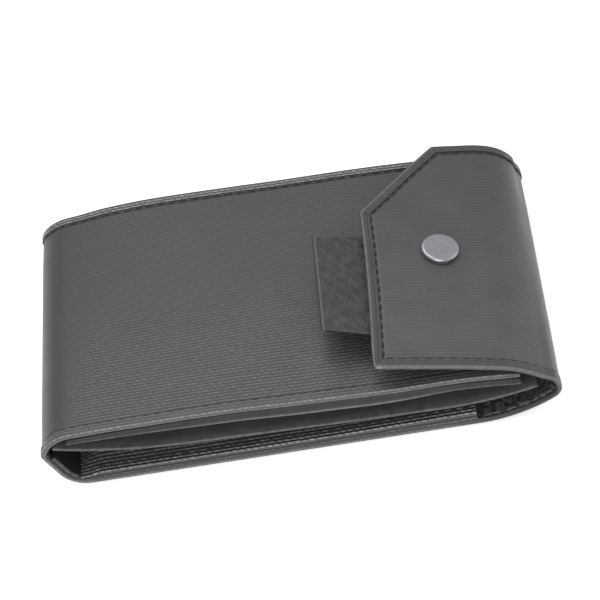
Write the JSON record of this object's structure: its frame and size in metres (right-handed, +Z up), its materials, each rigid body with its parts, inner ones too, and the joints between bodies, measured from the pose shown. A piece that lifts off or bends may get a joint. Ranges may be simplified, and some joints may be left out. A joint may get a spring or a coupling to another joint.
{
  "type": "passport holder wallet",
  "caption": "Soft passport holder wallet: one ribbed tarpaulin strip folded into cover, spine, back and a snap-closed flap, with inner pockets for a passport, notes and cards.",
  "frame": {"origin": "middle of the underside of the closed wallet", "axes": "+X along the long side, from the spine to the fold that carries the flap; +Y across the width, away from the edge next to the tab; +Z up, out of the front cover"},
  "size_m": [0.1683, 0.1, 0.0366],
  "materials": {
    "tarpaulin": "ribbed coated tarpaulin, satin",
    "binding": "the same tarpaulin cut across its ribs",
    "thread": "black sewing thread",
    "smooth_lining": "smooth coated lining, soft sheen",
    "cloth_lining": "dark plain-woven cloth",
    "woven_tape": "dark woven webbing",
    "board": "black polyethylene board",
    "tab_leather": "embossed grained leather",
    "snap_metal": "matt gunmetal",
    "snap_inner": "plain nickel"
  },
  "bodies": {
    "back": {"back_shell": "tarpaulin", "back_binding": "binding", "back_stitching": "thread", "spine_lining": "smooth_lining", "fold_tape": "woven_tape", "back_lining": "cloth_lining", "passport_sleeve": "tarpaulin", "sleeve_hem": "binding", "sleeve_stitching": "thread"},
    "cover": {"cover_shell": "tarpaulin", "cover_binding": "binding", "cover_stitching": "thread", "cover_stiffener": "board", "cover_lining": "smooth_lining", "note_pocket": "smooth_lining", "card_slot_1": "smooth_lining", "card_slot_2": "smooth_lining", "card_slot_3": "smooth_lining", "snap_stud": "snap_inner", "snap_post": "snap_inner"},
    "flap": {"flap_shell": "tarpaulin", "flap_binding": "binding", "flap_stitching": "thread", "flap_lining": "cloth_lining", "pull_tab": "tab_leather", "snap_cap": "snap_metal", "snap_socket": "snap_inner", "snap_spring": "snap_inner"}
  },
  "joints": [
    {"name": "flap_open", "type": "hinge", "parent": "back", "child": "flap", "pos_m": [0.08287, 0, 0.01616], "axis": [0, 1, 0], "range_deg": [0, 170]},
    {"name": "cover_open", "type": "hinge", "parent": "back", "child": "cover", "pos_m": [-0.08425, 0, 0.0165], "axis": [0, -1, 0], "range_deg": [0, 24]}
  ],
  "couplings": [
    {"joint": "cover_open", "follows": "flap_open", "ratio": 0.14}
  ]
}
